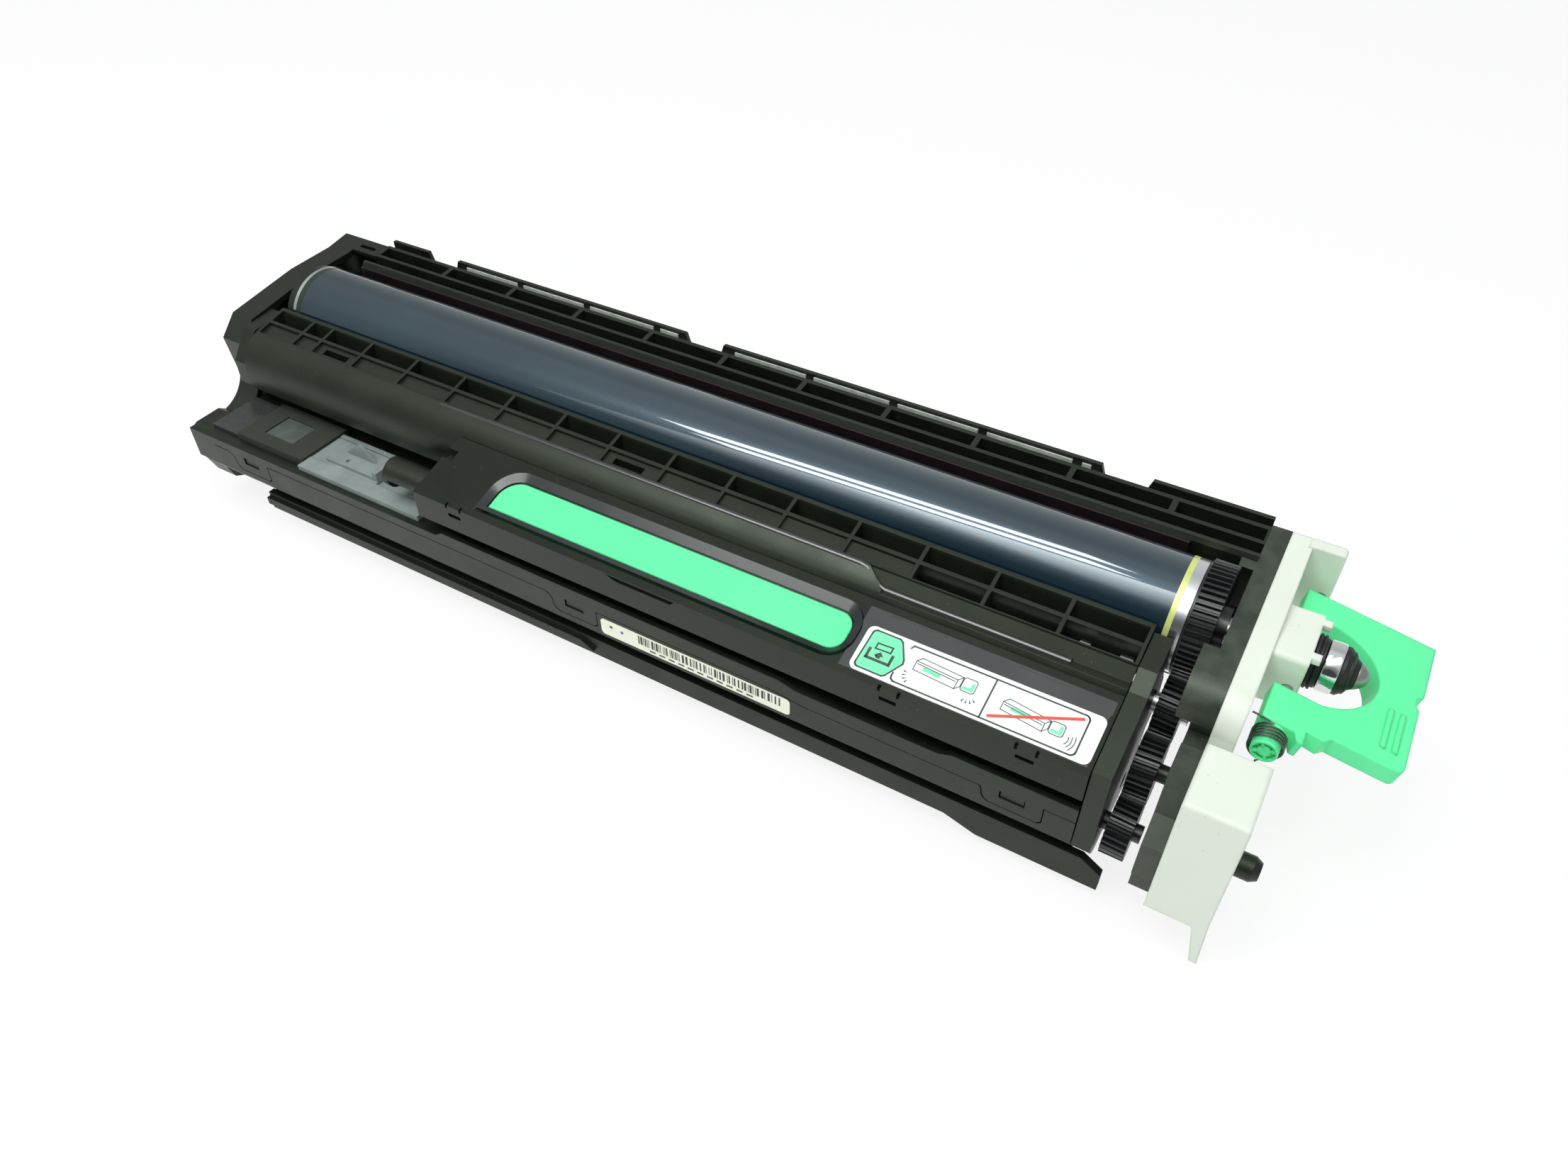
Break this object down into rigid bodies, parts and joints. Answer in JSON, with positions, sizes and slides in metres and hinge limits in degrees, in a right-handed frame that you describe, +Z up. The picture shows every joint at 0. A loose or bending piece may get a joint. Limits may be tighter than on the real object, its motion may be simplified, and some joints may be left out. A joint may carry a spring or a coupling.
{
  "type": "printer_drum_unit",
  "caption": "Printer imaging unit: long open photoconductor drum in a ribbed black frame with developer, toner inlet, pale end plate and green pull lever.",
  "frame": {"origin": "on the drum axis, at the outer face of the left side plate, where the drum shaft's rear journal leaves it", "axes": "+X along the drum axis towards the pale faceplate and the pull lever, +Y towards the rear ribbed frame, away from the developer, +Z up, the side where the drum lies open"},
  "size_m": [0.4102, 0.0981, 0.074],
  "materials": {
    "drum_coating": "glossy slate-blue photoconductor coating on aluminium",
    "black_plastic": "moulded black plastic with a fine texture",
    "pale_plastic": "pale grey-white moulded plastic",
    "mint_plastic": "bright mint-green moulded plastic, satin",
    "steel": "turned or plated steel",
    "polished_steel": "polished steel bearing race",
    "aluminium": "drawn aluminium tube, fine matt",
    "rubber": "black rubber",
    "clear_plastic": "milky translucent plastic",
    "grey_plastic": "light grey moulded plastic",
    "foam": "dark sealing foam",
    "label": "white film label"
  },
  "bodies": {
    "frame": {"left_side_plate": "black_plastic", "developer_end_left": "black_plastic", "developer_case": "black_plastic", "lower_rail": "black_plastic", "developer_lid": "black_plastic", "developer_end_right": "black_plastic", "developer_cover": "black_plastic", "developer_rod": "steel", "grip_panel": "black_plastic", "grip_insert": "mint_plastic", "instruction_label": "label", "barcode_label": "label", "doctor_blade": "steel", "rear_frame": "black_plastic", "channel_strip": "steel", "blade_bracket": "steel", "cleaning_blade": "rubber", "roller_holder_left": "black_plastic", "roller_holder_right": "black_plastic", "right_side_plate": "black_plastic", "faceplate": "pale_plastic", "bearing_collars": "rubber", "bearing_race": "polished_steel", "rubber_cup": "rubber", "locating_pin": "black_plastic", "lever_pin_front": "steel", "lever_pin_rear": "steel", "lever_spring": "steel", "inlet_gasket": "foam", "clear_window": "clear_plastic", "shutter_tray": "clear_plastic", "shutter_spring": "steel", "peg_housing": "black_plastic", "cone_peg": "grey_plastic"},
    "drum": {"drum_tube": "drum_coating", "drum_flange_left": "black_plastic", "drum_gear_flange": "black_plastic", "drum_shaft": "steel", "waste_drive_gear": "black_plastic", "end_ring": "rubber"},
    "sleeve": {"developing_sleeve": "aluminium", "sleeve_gear": "black_plastic"},
    "idler": {"idler_gear": "black_plastic"},
    "front_mixer": {"front_screw": "black_plastic", "front_screw_gear": "black_plastic", "front_pair_gear": "black_plastic"},
    "rear_mixer": {"rear_screw": "black_plastic", "rear_pair_gear": "black_plastic"},
    "waste_idler": {"waste_idler_gear": "black_plastic"},
    "waste_mixer": {"waste_screw": "black_plastic", "waste_screw_gear": "black_plastic"},
    "charger": {"charge_roller": "rubber"},
    "lever": {"pull_lever": "mint_plastic"},
    "shutter": {"shutter": "clear_plastic"}
  },
  "joints": [
    {"name": "drum_spin", "type": "hinge", "parent": "frame", "child": "drum", "pos_m": [0.3445, 0, 0], "axis": [1, 0, 0], "continuous": true},
    {"name": "sleeve_spin", "type": "hinge", "parent": "frame", "child": "sleeve", "pos_m": [0.3445, -0.01985, -0.01504], "axis": [1, 0, 0], "continuous": true},
    {"name": "idler_spin", "type": "hinge", "parent": "frame", "child": "idler", "pos_m": [0.3445, -0.03504, -0.02353], "axis": [1, 0, 0], "continuous": true},
    {"name": "front_mixer_spin", "type": "hinge", "parent": "frame", "child": "front_mixer", "pos_m": [0.3445, -0.04893, -0.03297], "axis": [1, 0, 0], "continuous": true},
    {"name": "rear_mixer_spin", "type": "hinge", "parent": "frame", "child": "rear_mixer", "pos_m": [0.3445, -0.03316, -0.03399], "axis": [1, 0, 0], "continuous": true},
    {"name": "waste_idler_spin", "type": "hinge", "parent": "frame", "child": "waste_idler", "pos_m": [0.3445, 0.01464, -0.00645], "axis": [1, 0, 0], "continuous": true},
    {"name": "waste_mixer_spin", "type": "hinge", "parent": "frame", "child": "waste_mixer", "pos_m": [0.3445, 0.0286, -0.0075], "axis": [1, 0, 0], "continuous": true},
    {"name": "charger_spin", "type": "hinge", "parent": "frame", "child": "charger", "pos_m": [0.3445, 0.01436, -0.01706], "axis": [1, 0, 0], "continuous": true},
    {"name": "lever_hinge", "type": "hinge", "parent": "frame", "child": "lever", "pos_m": [0.372, 0, -0.003], "axis": [0, -1, 0], "range_deg": [0, 80], "stiffness_Nm_per_rad": 0.02, "springref_deg": -34.38, "deforming": ["lever_spring"]},
    {"name": "shutter_slide", "type": "slide", "parent": "frame", "child": "shutter", "axis": [1, 0, 0], "range_m": [0, 0.0145], "stiffness_N_per_m": 40, "springref_m": -0.01, "deforming": ["shutter_spring"]}
  ],
  "couplings": [
    {"joint": "sleeve_spin", "follows": "drum_spin", "ratio": -1.9643},
    {"joint": "idler_spin", "follows": "drum_spin", "ratio": 1.8333},
    {"joint": "front_mixer_spin", "follows": "drum_spin", "ratio": -2.1154},
    {"joint": "rear_mixer_spin", "follows": "drum_spin", "ratio": 2.1154},
    {"joint": "waste_idler_spin", "follows": "drum_spin", "ratio": -0.6},
    {"joint": "waste_mixer_spin", "follows": "drum_spin", "ratio": 1.5},
    {"joint": "charger_spin", "follows": "drum_spin", "ratio": -2.6667}
  ]
}
